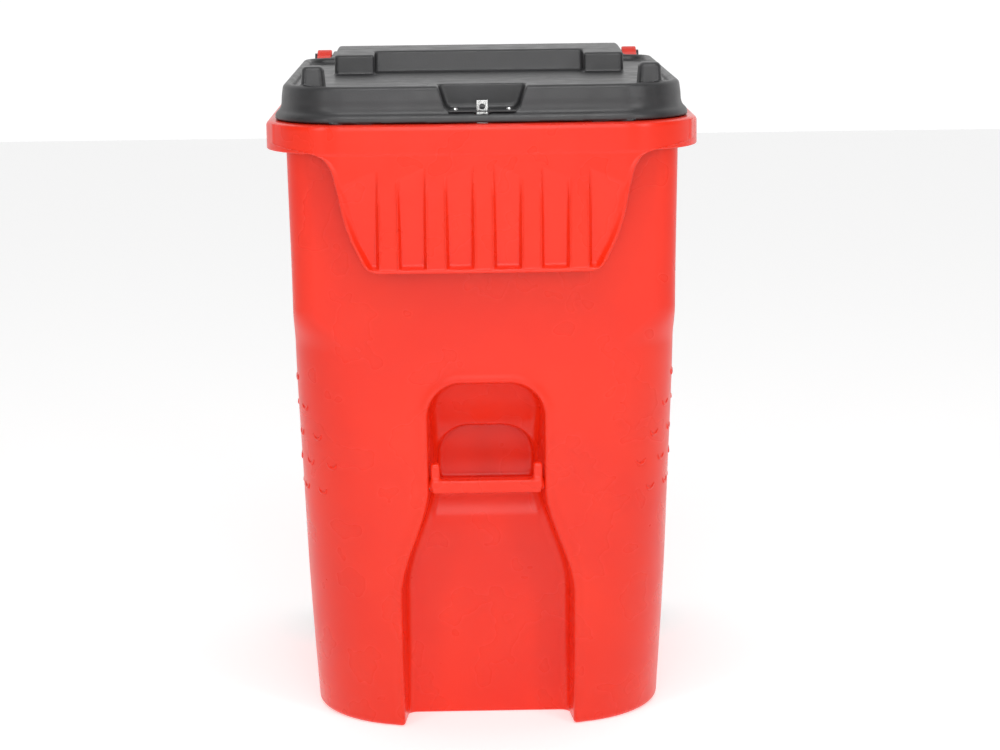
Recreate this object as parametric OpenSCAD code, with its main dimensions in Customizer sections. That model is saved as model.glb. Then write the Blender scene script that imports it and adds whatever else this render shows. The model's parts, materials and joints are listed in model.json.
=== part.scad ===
// Wheeled waste container with a lockable, fully opening lid.
// Millimetres. The front faces -Y, +X is to the right as seen from the front, +Z is up.
// The origin is on the floor, at the middle of the container's plan.

/* [Overall] */
// Width over the rim
overall_w = 586; // [560:1:704]
// Length from the front apron to the hinge lugs
overall_l = 724; // [680:1:869]
// Height to the top of the lid
overall_h = 927; // [880:1:1113]

/* [Tub] */
// Wall thickness of the tub
wall = 4; // [3.4:0.1:5]
// Floor thickness of the tub
floor_t = 5; // [4:0.5:7]
// How far the rim stands out from the wall
rim_out = 29; // [25:1:34]
// Height of the rim's hanging skirt
rim_h = 38; // [32:1:45]
// Height of the upstand inside the lid
upstand_h = 7; // [5:0.5:8]
// Narrowing of each side from the rim to the floor
side_draft = 19; // [15:1:23]
// Lean of the front wall from the rim to the floor
front_draft = 24; // [20:1:28]
// Outward bow of the front, from its middle to its corners
front_bow = 12; // [8:1:16]
// Height of the shoulder where the corners become rounder
shoulder_z = 540; // [520:1:560]
// Height of the shoulder itself
shoulder_h = 50; // [40:1:60]

/* [Apron] */
// Height of the apron below the rim's top
apron_h = 198; // [180:1:220]
// Half the width of the apron's straight lower edge
apron_foot_hw = 144; // [140:1:173]
// Spacing of the raised ribs
rib_pitch = 63.5; // [58:0.5:68]
// Width of one raised rib
rib_w = 27; // [22:1:30]
// Depth of the grooves at their lower end
groove_depth = 6; // [4:0.5:7]

/* [Front recess and lift bar] */
// Height of the top of the arch
arch_top = 494; // [480:1:505]
// Half the width of the arch
arch_hw = 80; // [67:1:90]
// Corner radius of the arch
arch_r = 48; // [40:1:52]
// Half the width of the recess at the floor
recess_foot_hw = 120; // [110:1:130]
// Height of the middle of the lift bar
bar_z = 349; // [346:1:356]
// Height of the lift bar
bar_h = 19; // [17:1:24]
// How far the bar's ends stand up above it
bar_ear_h = 24; // [10:1:28]
// Depth of the lift bar, front to back
bar_t = 22; // [18:1:24]
// Diameter of the steel rod in the lift bar
bar_rod_d = 12; // [10:1:13]

/* [Wheels and axle] */
// Diameter of the wheels
wheel_d = 203.2; // [170:0.1:244]
// Width of the tyres
tyre_w = 44; // [36:1:50]
// Thickness of the tyres
tyre_t = 13; // [10:1:16]
// Diameter of the axle
axle_d = 16; // [13:0.5:19]
// Wall of the bush in each wheel
bush_t = 3; // [2:0.5:4]

/* [Lid] */
// Height of the lid's top above the rim
lid_h = 77; // [72:1:85]
// Height of the border ridge above the rim
lid_border_h = 49; // [46:1:52]
// Wall thickness of the lid
lid_t = 4; // [3:0.5:5]
// Gap between the rim and the lid's lower edge
lid_gap = 3; // [2:0.5:4]
// Depth of the deck below the border ridge
deck_drop = 9; // [7:1:12]

/* [Hinge] */
// Outer radius of the hinge lugs
lug_r = 12.5; // [12:0.5:15]
// Diameter of the hinge pins
pin_d = 12; // [10:0.5:14]
// Radius of the hand grip
grip_r = 15; // [12:1:17]

/* [Lock] */
// Width of the lock staple
staple_w = 15; // [13:1:18]
// Thickness of the lock staple
staple_t = 3; // [2.5:0.5:4]
// Diameter of the eye for a padlock
eye_d = 8; // [6:0.5:9]

/* [Hidden] */

$fn = 48;
eps = 0.5;       // overlap that makes a union or a cut clean
run_fit = 0.05;  // radial clearance of what turns
slip = 0.1;      // radial clearance of what slides in and stays
air = 0.5;       // gap between pieces that must not touch

// Heights
rim_z = overall_h - lid_h;
border_z = rim_z + lid_border_h;
deck_z = border_z - deck_drop;
lid_low = rim_z + lid_gap;

// Tub plan
rim_hw = overall_w / 2;
rim_front = -overall_l / 2;
top_hw = rim_hw - rim_out;
tub_front = rim_front + rim_out;
hinge_y = overall_l / 2 - max(lug_r, grip_r);
hinge_z = border_z - 9;
grip_gap = 57;
rim_rear = hinge_y - grip_r - grip_gap;
tub_rear = rim_rear - rim_out;
rear_draft = 22;
rim_corner = 105;
mouth_corner = 94;
upper_corner = 32;
lower_corner = 80;
foot_corner = 138;
rear_corner = 60;
edge_round = 8;  // rounding of the tub's lower edge

// Wheels
axle_z = wheel_d / 2;
axle_y = tub_rear - 30;
axle_r = axle_d / 2;
well_gap = 10;
well_r = wheel_d / 2 + well_gap;
hub_w = tyre_w + 6;
hub_r = axle_r + bush_t + 9;
wheel_x = top_hw - side_draft - 3 - tyre_w / 2;
well_x = wheel_x - hub_w / 2 - 8.5;
washer_t = 2;
cap_t = 7;
cap_r = axle_r + 6;
axle_end = wheel_x + hub_w / 2 + air + washer_t + air + 3;

// Recess, as depths behind the tub's front at the rim
recess_draft = 0.1;
recess_lip = 14;
recess_y = [for (d = [86, 81, 121, 77, 43]) tub_front + d];
crease_z = 300;
pocket_low = 338;
pocket_high = 420;
flare_top = 345;
flare_low = 196;
bar_front = tub_front + 13;
bar_end_gap = 5;
rod_y = bar_front + 14;
rod_boss_r = bar_rod_d / 2 + 3.5;
rod_end = arch_hw + 14;
floor_slope = 1.1;
kick_y = axle_y - (axle_z + 36) / floor_slope;

// Hinge, from the outside in
lug_out = rim_hw - 39;
lug_w = 23;
knuckle_gap = 2.5;
knuckle_w = 26;
inner_lug_w = 23;
knuckle_out = lug_out - lug_w - knuckle_gap;
knuckle_in = knuckle_out - knuckle_w;
inner_lug_out = knuckle_in - knuckle_gap;
knuckle_r = 12.5;

// Lid plan
lid_inset = 12;
lid_flange = 8;
lid_hw = rim_hw - lid_inset;
lid_front = rim_front + 16;
lid_rear = rim_rear - 13;
lid_corner = 98;
border_w = 15;
notch_hw = 59;
notch_foot_hw = 48;
notch_depth = 53;
shelf_z = rim_z + 15;
shelf_t = 4;
plateau_hw = 211;
plateau_front = rim_front + 368;
plateau_bay = 46;
plateau_cheek = 58;
plateau_lip = overall_h - 6;
knob_w = 34;
knob_out = 243;
knob_front = rim_front + 64;

// Lock
staple_y = tub_front - staple_t;
staple_top = rim_z + 30;
eye_z = staple_top - 8.5;
rivet_x = 36;
rivet_y = tub_front + 14;
plate_t = 1.5;

red = [0.86, 0.10, 0.08];
black = [0.07, 0.07, 0.075];
steel = [0.72, 0.73, 0.75];

// ---------------------------------------------------------------- functions

function smooth(t) = let (u = max(0, min(1, t))) u * u * (3 - 2 * u);
function mix(a, b, t) = a + (b - a) * t;

// A rounded rectangle seen from above, with its front bowed outwards
corner_steps = 7;
front_steps = 8;
function bowed(p, hw, front, rear, bow) =
    let (mid = (front + rear) / 2)
    [p[0], p[1] + bow * pow(p[0] / hw, 2) * max(0, min(1, (mid - p[1]) / (mid - front)))];
function arc(cx, cy, r, a0) =
    [for (i = [0:corner_steps]) let (a = a0 + 90 * i / corner_steps) [cx + r * cos(a), cy + r * sin(a)]];
function plan(hw, front, rear, rf, rr, bow) =
    [for (p = concat(
            arc(hw - rf, front + rf, rf, -90), arc(hw - rr, rear - rr, rr, 0),
            arc(rr - hw, rear - rr, rr, 90), arc(rf - hw, front + rf, rf, 180),
            [for (i = [1:front_steps - 1]) [(hw - rf) * (2 * i / front_steps - 1), front]]))
        bowed(p, hw, front, rear, bow)];

// A solid skinned over outlines of equal length, each given as [height, outline]
module loft(levels) {
    n = len(levels[0][1]);
    m = len(levels);
    points = [for (s = levels) for (p = s[1]) [p[0], p[1], s[0]]];
    sides = [for (j = [0:m - 2]) for (i = [0:n - 1]) let (a = j * n + i, b = j * n + (i + 1) % n)
        each [[a, a + n, b], [b, a + n, b + n]]];
    polyhedron(points, concat(sides, [[for (i = [0:n - 1]) i]], [[for (i = [n - 1:-1:0]) (m - 1) * n + i]]));
}

// The tub's half width, front, rear and front corner radius at a height
function tub_hw(z) = top_hw - side_draft * lookup(z / rim_z,
    [[0, 1], [0.22, 0.55], [0.41, 0.32], [0.635, 0.08], [0.7, 0.13], [1, 0]]);
function tub_front_at(z) = tub_front + front_draft * (1 - z / rim_z);
function tub_rear_at(z) = tub_rear - rear_draft * (1 - z / rim_z);
function tub_corner(z) = lookup(z,
    [[0, foot_corner], [300, 104], [shoulder_z, lower_corner], [shoulder_z + shoulder_h, upper_corner],
     [rim_z, upper_corner + 2]]);
function tub_plan(z, inset) = plan(tub_hw(z) - inset, tub_front_at(z) + inset, tub_rear_at(z) - inset,
    max(6, tub_corner(z) - inset), rear_corner - inset, front_bow);
tub_levels = [60, 180, 300, 420, shoulder_z, shoulder_z + shoulder_h * 0.3, shoulder_z + shoulder_h * 0.6,
    shoulder_z + shoulder_h];

// The recess's half width at a height
function recess_hw(z) = mix(arch_hw, recess_foot_hw, smooth((flare_top - z) / (flare_top - flare_low)));
flare_steps = 7;
function recess_side(g) = concat(
    [[recess_foot_hw + g, -20]],
    [for (i = [0:flare_steps]) let (z = mix(flare_low, flare_top, i / flare_steps)) [recess_hw(z) + g, z]],
    [for (p = arc(arch_hw - arch_r, arch_top - arch_r, arch_r + g, 0)) p]);
function mirrored(side) = concat(side, [for (i = [len(side) - 1:-1:0]) [-side[i][0], side[i][1]]]);

// The apron's half width at a height
apron_low = rim_z - apron_h;
apron_steps = 12;
function apron_hw(t) = mix(apron_foot_hw, rim_hw * 0.902, lookup(t,
    [[0, 0], [0.02, 0.08], [0.06, 0.14], [0.15, 0.21], [0.28, 0.29], [0.48, 0.37], [0.75, 0.45], [0.9, 0.53],
     [0.97, 0.63], [1, 0.78], [1.04, 1]]));
function apron_side() = concat(
    [for (i = [0:apron_steps]) let (t = 1.04 * i / apron_steps) [apron_hw(t), mix(apron_low, rim_z - rim_h, t)]],
    [[rim_hw * 0.902, rim_z - wall]]);

// ------------------------------------------------------------------ helpers

// An outline in Y and Z, drawn out along X from x0 to x1
module along_x(x0, x1) translate([x0, 0, 0]) rotate([90, 0, 90]) linear_extrude(x1 - x0) children();
// An outline in X and Z, drawn out along Y from y0 to y1
module along_y(y0, y1) translate([0, y1, 0]) rotate([90, 0, 0]) linear_extrude(y1 - y0) children();
module both_sides() {
    children();
    mirror([1, 0, 0]) children();
}
module rod(r, x0, x1, y, z) translate([x0, y, z]) rotate([0, 90, 0]) cylinder(r = r, h = x1 - x0);
module ring(r0, r1, x0, x1, y, z) difference() {
    rod(r1, x0, x1, y, z);
    rod(r0, x0 - 1, x1 + 1, y, z);
}

// ---------------------------------------------------------------------- tub

// The recess narrows with depth, so that the mould can leave it
module recess(g) intersection() {
    translate([0, tub_front + 150, 0]) rotate([90, 0, 0]) loft([
        for (d = [0, 190]) [d, mirrored(recess_side(g - recess_draft * (150 - recess_lip - d)))]]);
    along_x(-200, 200) polygon([[rim_front - 20, -20], [recess_y[0] + g, -20], [recess_y[1] + g, crease_z],
        [recess_y[2] + g, pocket_low - g / 2], [recess_y[2] + g, pocket_high + g],
        [recess_y[3] + g, pocket_high + g], [recess_y[4] + g, arch_top + g], [rim_front - 20, arch_top + g]]);
}
module wheel_well(g) {
    rod(well_r + g, well_x - g, rim_hw + 20, axle_y, axle_z);
    translate([well_x - g, axle_y - well_r - g, -20])
        cube([rim_hw, 2 * well_r + 60, axle_z + 20]);
}
module kick_up(g) along_x(-well_x - eps, well_x + eps)
    polygon([[kick_y - 1.4 * g - 22, -20], [kick_y - 1.4 * g, 0],
        [tub_rear + 20, (tub_rear + 20 - kick_y + 1.4 * g) * floor_slope],
        [tub_rear + 60, -20]]);
module under_cuts(g) {
    recess(g);
    both_sides() wheel_well(g);
    kick_up(g);
}
module outer_body() difference() {
    loft(concat([[0, tub_plan(0, edge_round)], [edge_round, tub_plan(edge_round, 0)]],
        [for (z = tub_levels) [z, tub_plan(z, 0)]], [[rim_z - 1, tub_plan(rim_z, 0)]]));
    under_cuts(0);
}
module upstand() translate([0, 0, rim_z - wall]) linear_extrude(wall + upstand_h) polygon(mouth_plan(0));
module cavity() {
    translate([0, 0, rim_z - wall - 2]) linear_extrude(wall + upstand_h + 10) polygon(mouth_plan(wall));
    difference() {
        inner_body();
        under_cuts(wall);
        both_sides() rod(rod_boss_r, arch_hw - 4, rod_end + 3, rod_y, bar_z);
    }
}
module inner_body() loft(concat(
    [[floor_t, tub_plan(floor_t, edge_round + wall)], [floor_t + edge_round, tub_plan(floor_t + edge_round, wall)]],
    [for (z = tub_levels) [z, tub_plan(z, wall)]], [[rim_z - wall, tub_plan(rim_z, wall)]]));
function mouth_plan(inset) = plan(top_hw - inset, tub_front + inset, tub_rear - inset, mouth_corner - inset,
    rear_corner - inset, front_bow);
function rim_plan(inset) = plan(rim_hw - inset, rim_front + inset, rim_rear - inset, rim_corner - inset,
    rear_corner - inset, front_bow + 2);
module rim_tube(z0, z1) translate([0, 0, z0]) linear_extrude(z1 - z0) difference() {
    polygon(rim_plan(0));
    polygon(rim_plan(wall));
}
module rim() {
    rim_tube(rim_z - rim_h, rim_z - eps);
    translate([0, 0, rim_z - wall]) linear_extrude(wall) polygon(rim_plan(0));
}
// The apron's face, its grooves and the walls at its sides
module groove_wedge(x, w, y0, t) translate([x - w / 2, y0, apron_low + 5])
    rotate([-atan(groove_depth / (apron_h - 65)), 0, 0]) translate([0, -groove_depth - t, 0])
        cube([w, groove_depth + t, apron_h - 65]);
module apron() {
    groove_w = rib_pitch - rib_w;
    face_y = rim_front + groove_depth;
    difference() {
        union() {
            intersection() {
                rim_tube(apron_low, rim_z - wall);
                along_y(rim_front - 5, tub_front) polygon(mirrored(apron_side()));
            }
            for (i = [-1.5:1:1.5]) translate([i * rib_pitch - groove_w / 2 - wall, rim_front + front_bow * 0.3, apron_low])
                cube([groove_w + 2 * wall, groove_depth + wall, apron_h - 62]);
        }
        for (i = [-1.5:1:1.5]) groove_wedge(i * rib_pitch, groove_w, face_y + 0.6 * abs(i), 6);
    }
    both_sides() translate([apron_foot_hw - 6, rim_front + 6, apron_low + 12])
        cube([wall, rim_out + 6, apron_h - 14]);
}
// Arms and lugs that carry the hinge pins and the hand grip
module hinge_arm(x0, x1, r) {
    along_x(x0, x1) polygon([[tub_rear - 2, rim_z - rim_h + 6], [rim_rear - eps, rim_z - rim_h + 6],
        [hinge_y + 4, hinge_z - r + 0.5], [hinge_y - 4, hinge_z + r - 0.5], [rim_rear - 2, rim_z + 22],
        [rim_rear - 10, rim_z - wall / 2], [tub_rear - 2, rim_z - wall / 2]]);
    rod(r, x0, x1, hinge_y, hinge_z);
}
module handle() {
    both_sides() {
        hinge_arm(lug_out - lug_w, lug_out, lug_r);
        hinge_arm(inner_lug_out - inner_lug_w, inner_lug_out, lug_r - 1);
    }
    rod(grip_r, -inner_lug_out + eps, inner_lug_out - eps, hinge_y, hinge_z);
}
module axle_rib(x, t) along_x(x - t / 2, x + t / 2) difference() {
    union() {
        polygon([[axle_y - 30, axle_z], [axle_y - 18, axle_z - 12], [axle_y + 18, axle_z - 12], [axle_y + 30, axle_z],
            [axle_y + 30, (axle_y + 32 - kick_y) * floor_slope], [axle_y - 30, (axle_y - 28 - kick_y) * floor_slope]]);
        translate([axle_y, axle_z]) circle(r = axle_r + 10);
    }
    translate([axle_y, axle_z]) circle(r = axle_r + slip);
}
module tub() color(red) difference() {
    union() {
        difference() {
            union() {
                outer_body();
                upstand();
                rim();
                apron();
                handle();
            }
            cavity();
        }
        for (x = [-well_x + 4, -60, 60, well_x - 4]) axle_rib(x, 8);
    }
    both_sides() {
        rod(bar_rod_d / 2 + slip, arch_hw - 10, rod_end, rod_y, bar_z);
        rod(pin_d / 2 + slip, inner_lug_out - inner_lug_w + 5, lug_out + 1, hinge_y, hinge_z);
    }
    translate([-staple_w / 2 - 1.5, staple_y - 1.5, rim_z - wall - 1]) cube([staple_w + 3, staple_t + 1.7, wall + 2]);
    for (z = rivet_heights) translate([0, tub_front - 10, z]) rotate([-90, 0, 0]) cylinder(r = 2.6, h = 20);
}

// ----------------------------------------------------------------- lift bar

function half_bar(w, h) = [[w - 4, -h], [w, 4 - h], [w, h + bar_ear_h - 4], [w - 3, h + bar_ear_h],
    [w - 8, h + bar_ear_h], [w - 11, h + bar_ear_h - 4], [w - 14, h]];
module lift_bar() color(red) difference() {
    along_y(bar_front, bar_front + bar_t) let (w = arch_hw - bar_end_gap, h = bar_h / 2)
        polygon([for (side = [1, -1], p = side > 0 ? half_bar(w, h) : [for (i = [6:-1:0]) half_bar(w, h)[i]])
            [side * p[0], bar_z + p[1]]]);
    rod(bar_rod_d / 2 + slip, -arch_hw, arch_hw, rod_y, bar_z);
}
module lift_bar_rod() color(steel) rod(bar_rod_d / 2, -rod_end + 1, rod_end - 1, rod_y, bar_z);

// --------------------------------------------------------------------- lock

rivet_heights = [rim_z - 18, rim_z - 36];
module lock_staple() color(steel) difference() {
    translate([-staple_w / 2, staple_y, rim_z - 44]) cube([staple_w, staple_t, staple_top - rim_z + 44]);
    translate([0, staple_y - 1, eye_z]) rotate([-90, 0, 0]) cylinder(r = eye_d / 2, h = staple_t + 2);
    for (z = rivet_heights) translate([0, staple_y - 1, z]) rotate([-90, 0, 0]) cylinder(r = 2.6, h = staple_t + 2);
}
module staple_rivets() color(steel) for (z = rivet_heights) translate([0, staple_y, z]) rotate([-90, 0, 0]) {
    translate([0, 0, -2.2]) cylinder(r = 5, h = 2);
    translate([0, 0, -1]) cylinder(r = 2.5, h = staple_t + wall + 5);
    translate([0, 0, staple_t + wall + 3]) cylinder(r = 4.5, h = 1.6);
}

// ---------------------------------------------------------- axle and wheels

module axle() color(steel) rod(axle_r, -axle_end, axle_end, axle_y, axle_z);
module axle_spacer() color(black) ring(axle_r + slip, axle_r + 5, well_x + air, wheel_x - hub_w / 2 - air, axle_y, axle_z);
module axle_washer() color(steel)
    ring(axle_r + slip, axle_r + 7, wheel_x + hub_w / 2 + air, wheel_x + hub_w / 2 + air + washer_t, axle_y, axle_z);
module axle_cap() color(steel) difference() {
    x0 = wheel_x + hub_w / 2 + 2 * air + washer_t;
    union() {
        rod(cap_r, x0, x0 + 2, axle_y, axle_z);
        rod(cap_r - 3, x0, x0 + cap_t, axle_y, axle_z);
    }
    rod(axle_r + slip, x0 - 1, axle_end + 1, axle_y, axle_z);
}
// Turned about X, with the profile given as [radius, distance along the axle]
module turned(profile) translate([wheel_x, axle_y, axle_z]) rotate([0, 90, 0]) rotate_extrude($fn = 96) polygon(profile);
rim_r = wheel_d / 2 - tyre_t;
bush_r = axle_r + bush_t;
module wheel() color(black) {
    r0 = bush_r + run_fit;
    w = tyre_w / 2 - 2;
    turned([[r0, -hub_w / 2], [hub_r, -hub_w / 2], [hub_r, -4], [rim_r - 7, -4], [rim_r - 7, -w], [rim_r, -w],
        [rim_r, w], [rim_r - 7, w], [rim_r - 7, 4], [hub_r, 4], [hub_r, hub_w / 2], [r0, hub_w / 2]]);
    for (a = [0:45:315]) translate([wheel_x, axle_y, axle_z]) rotate([a, 0, 0])
        translate([-w + 4, -2.5, hub_r - 2]) cube([2 * w - 8, 5, rim_r - 7 - hub_r + 4]);
}
module tyre() color(black) {
    w = tyre_w / 2;
    r = wheel_d / 2;
    turned([[rim_r + slip, -w + 2], [r - 4, -w], [r - 1, -w + 4], [r, -w + 9], [r, -3], [r - 3, -2], [r - 3, 2],
        [r, 3], [r, w - 9], [r - 1, w - 4], [r - 4, w], [rim_r + slip, w - 2]]);
}
module wheel_bush() color([0.85, 0.85, 0.82])
    ring(axle_r + run_fit, bush_r, wheel_x - hub_w / 2, wheel_x + hub_w / 2, axle_y, axle_z);

// -------------------------------------------------------------------- hinge

module hinge_pin() color(black) {
    rod(pin_d / 2, inner_lug_out - inner_lug_w + 6, lug_out + 1, hinge_y, hinge_z);
    rod(pin_d / 2 + 3.5, lug_out + 0.2, lug_out + 4, hinge_y, hinge_z);
}

// ---------------------------------------------------------------------- lid

function lid_plan(inset) = plan(lid_hw - inset, lid_front + inset, lid_rear - inset / 2, lid_corner - inset * 0.7,
    50 - inset * 0.7, front_bow + 1);
// The latch notch in the front of the lid
module notch(g) along_y(lid_front - 20, lid_front + notch_depth + g)
    polygon(mirrored([[notch_foot_hw + g, shelf_z - g], [notch_hw + g, border_z + 20]]));
module plateau(g) {
    base_z = deck_z - 12;
    step = lid_flange;
    module block(x0, x1, y0) along_x(x0 + g, x1 - g) polygon([[y0 - 6 + g, base_z], [y0 + 3 + g, plateau_lip - g],
        [y0 + 55 + g, overall_h - g], [lid_rear - 62, overall_h - 4 - g], [lid_rear - step - g, border_z + 4 - g],
        [lid_rear - step - g, base_z]]);
    block(-plateau_hw, -plateau_hw + plateau_cheek + 2 * g, plateau_front);
    block(plateau_hw - plateau_cheek - 2 * g, plateau_hw, plateau_front);
    block(-plateau_hw + plateau_cheek - 1, plateau_hw - plateau_cheek + 1, plateau_front + plateau_bay);
}
module lid_body() difference() {
    union() {
        difference() {
            loft([[lid_low, lid_plan(0)], [lid_low + 4, lid_plan(0)], [lid_low + 13, lid_plan(lid_flange)],
                [border_z - 4, lid_plan(lid_flange + 4)], [border_z, lid_plan(lid_flange + 7)]]);
            difference() {
                translate([0, 0, deck_z]) linear_extrude(deck_drop + 5) polygon(lid_plan(lid_flange + border_w + 7));
                notch(border_w);
            }
        }
        plateau(0);
        both_sides() knob();
    }
    difference() {
        union() {
            loft([[lid_low - 5, lid_plan(lid_t)], [lid_low + 4, lid_plan(lid_t + 1)], [lid_low + 13, lid_plan(lid_flange + lid_t)],
                [deck_z - lid_t, lid_plan(lid_flange + 4 + lid_t)]]);
            plateau(lid_t);
        }
        notch(lid_t);
    }
    notch(0);
    translate([-staple_w / 2 - 4, staple_y - 4, shelf_z - 10]) cube([staple_w + 8, staple_t + 9, 20]);
    both_sides() translate([rivet_x, rivet_y, shelf_z - 10]) cylinder(r = 2.6, h = 20);
}
module knob() translate([knob_out - knob_w / 2, knob_front + knob_w / 2, 0]) {
    h = overall_h - 3 - deck_z;
    loft([for (s = [[-3, 1.06], [0.15 * h, 1], [h - 7, 0.86], [h - 2, 0.74], [h, 0.56]])
        [deck_z + s[0], plan(s[1] * knob_w / 2, -s[1] * knob_w / 2, s[1] * knob_w / 2, s[1] * 8, s[1] * 8, 1)]]);
}
module knuckle() {
    along_x(knuckle_in, knuckle_out) polygon([[lid_rear - lid_flange - 6, deck_z - 14], [lid_rear + 4, deck_z - 16],
        [hinge_y + 2, hinge_z - knuckle_r + 0.3], [hinge_y - 2, hinge_z + knuckle_r - 0.3],
        [lid_rear - lid_flange - 6, border_z]]);
    rod(knuckle_r, knuckle_in, knuckle_out, hinge_y, hinge_z);
}
module lid_pads() for (x = [-174, 174]) translate([x - 29, lid_front + 5, rim_z + 0.2]) cube([58, 8, lid_gap + 1]);
module lid() color(black) difference() {
    union() {
        lid_body();
        both_sides() knuckle();
        lid_pads();
    }
    both_sides() rod(pin_d / 2 + run_fit, knuckle_in - 1, knuckle_out + 1, hinge_y, hinge_z);
}
module hasp_plate() color(black) difference() {
    translate([-45, staple_y - 6, shelf_z + 0.1]) cube([90, notch_depth - 20, plate_t]);
    translate([-staple_w / 2 - 3, staple_y - 3, shelf_z - 1]) cube([staple_w + 6, staple_t + 7, 5]);
    both_sides() translate([rivet_x, rivet_y, shelf_z - 1]) cylinder(r = 2.6, h = 5);
}
module hasp_rivets() color(steel) both_sides() translate([rivet_x, rivet_y, 0]) {
    translate([0, 0, shelf_z - shelf_t - 1.4]) cylinder(r = 4.5, h = 1.2);
    translate([0, 0, shelf_z - shelf_t - 1]) cylinder(r = 2.5, h = shelf_t + plate_t + 2);
    translate([0, 0, shelf_z + plate_t + 0.2]) cylinder(r1 = 4.2, r2 = 3, h = 2);
}

tub();
lift_bar();
lift_bar_rod();
lock_staple();
staple_rivets();
axle();
axle_spacer();  // axle_spacer_right
mirror([1, 0, 0]) axle_spacer();  // axle_spacer_left
wheel();  // wheel_right
mirror([1, 0, 0]) wheel();  // wheel_left
tyre();  // tyre_right
mirror([1, 0, 0]) tyre();  // tyre_left
wheel_bush();  // wheel_bush_right
mirror([1, 0, 0]) wheel_bush();  // wheel_bush_left
axle_washer();  // axle_washer_right
mirror([1, 0, 0]) axle_washer();  // axle_washer_left
axle_cap();  // axle_cap_right
mirror([1, 0, 0]) axle_cap();  // axle_cap_left
hinge_pin();  // hinge_pin_right
mirror([1, 0, 0]) hinge_pin();  // hinge_pin_left
lid();
hasp_plate();
hasp_rivets();
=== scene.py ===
"""A wheeled waste container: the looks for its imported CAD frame.

Shapes are worked out in millimetres and made into meshes in metres. A moulded shape is
a distance function of x, y and z: negative inside, zero on its surface.
"""

import json
import math
from concurrent.futures import ThreadPoolExecutor

import bpy
import numpy as np
import openvdb
from mathutils import Euler, Matrix, Vector


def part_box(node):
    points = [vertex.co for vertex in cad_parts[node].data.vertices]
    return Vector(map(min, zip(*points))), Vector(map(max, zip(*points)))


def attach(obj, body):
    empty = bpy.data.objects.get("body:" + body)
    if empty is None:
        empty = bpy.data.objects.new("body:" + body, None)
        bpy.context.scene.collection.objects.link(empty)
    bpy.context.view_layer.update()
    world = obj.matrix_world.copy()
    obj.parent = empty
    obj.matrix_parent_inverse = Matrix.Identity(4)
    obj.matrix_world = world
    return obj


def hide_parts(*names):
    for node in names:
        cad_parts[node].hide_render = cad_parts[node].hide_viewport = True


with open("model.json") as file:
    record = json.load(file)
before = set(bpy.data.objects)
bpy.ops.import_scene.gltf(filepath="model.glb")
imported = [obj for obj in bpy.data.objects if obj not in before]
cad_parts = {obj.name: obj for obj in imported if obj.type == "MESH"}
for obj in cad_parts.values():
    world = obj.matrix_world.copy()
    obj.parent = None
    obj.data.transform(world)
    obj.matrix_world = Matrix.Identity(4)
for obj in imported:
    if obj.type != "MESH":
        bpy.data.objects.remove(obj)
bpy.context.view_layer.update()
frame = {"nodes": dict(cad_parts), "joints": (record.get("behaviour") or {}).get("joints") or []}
MM = 0.001


# ------------------------------------------------------------- sizes from the frame, in mm


def box_mm(node):
    return [[v / MM for v in corner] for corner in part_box(node)]


def joint_mm(name):
    return [v / MM for j in frame["joints"] if j["name"] == name for v in j["pos_m"]]


(_, RIM_FRONT, _), (RIM_HW, _, _) = box_mm("tub")
(_, _, LID_PADS_Z), (LID_HW, _, TOP_Z) = box_mm("lid")
_, HINGE_Y, HINGE_Z = joint_mm("lid_hinge")
_, AXLE_Y, AXLE_Z = joint_mm("wheel_right_spin")

RIM_Z = LID_PADS_Z - 0.2
WALL = 4
RIM_OUT = 29  # how far the rim stands out from the wall
RIM_H = 38
TOP_HW = RIM_HW - RIM_OUT
TUB_FRONT = RIM_FRONT + RIM_OUT
RIM_REAR = HINGE_Y - 72
TUB_REAR = RIM_REAR - RIM_OUT
RIM_CORNER = 105
MOUTH_CORNER = 94
REAR_CORNER = 60
SHOULDER_LOW, SHOULDER_HIGH = 538, 596
FRONT_LEAN, REAR_LEAN = 24, 22
FRONT_BOW = 12

APRON_LOW = RIM_Z - 198
APRON_FOOT_HW = 144
RIB_PITCH, RIB_W = 63.5, 26
GROOVE_DEPTH = 7.5

ARCH_TOP, ARCH_HW, ARCH_R = 494, 80, 48
RECESS_FOOT_HW = 120
FLARE_LOW, FLARE_TOP = 190, 350
BAR_Z, BAR_H, BAR_T = 349, 19, 22
BAR_TOP = BAR_Z + BAR_H / 2
BAR_FRONT = TUB_FRONT + 13
RECESS_DRAFT = 0.1
POCKET_LOW, POCKET_SPRING, POCKET_DEPTH = 336, 372, 120  # the pocket behind the lift bar
POCKET_FLAT_HW, POCKET_R, POCKET_FLATTEN = 22, 46, 0.96

WELL_X = 186.5
WELL_R = AXLE_Z + 10
KICK_SLOPE = 1.1
KICK_Y = AXLE_Y - (AXLE_Z + 36) / KICK_SLOPE
AXLE_R = 8

LUG_R, PIN_R, GRIP_R = 12.5, 6, 15
OUTER_LUG = (RIM_HW - 62, RIM_HW - 39)
KNUCKLE = (OUTER_LUG[0] - 28.5, OUTER_LUG[0] - 2.5)
INNER_LUG = (KNUCKLE[0] - 25.5, KNUCKLE[0] - 2.5)

BORDER_Z = RIM_Z + 49
DECK_Z = BORDER_Z - 9
LID_LOW = RIM_Z + 1.2
LID_FRONT = RIM_FRONT + 16
LID_REAR = RIM_REAR - 13
SHELF_Z = RIM_Z + 15
NOTCH_FOOT_HW, NOTCH_HW, NOTCH_DEPTH = 48, 59, 53
PLATEAU_HW, PLATEAU_CHEEK, PLATEAU_BAY = 211, 58, 46
PLATEAU_FRONT = RIM_FRONT + 368
KNOB_X, KNOB_Y, KNOB_W = 226, RIM_FRONT + 81, 34


# ------------------------------------------------------------------ distance functions


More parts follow.
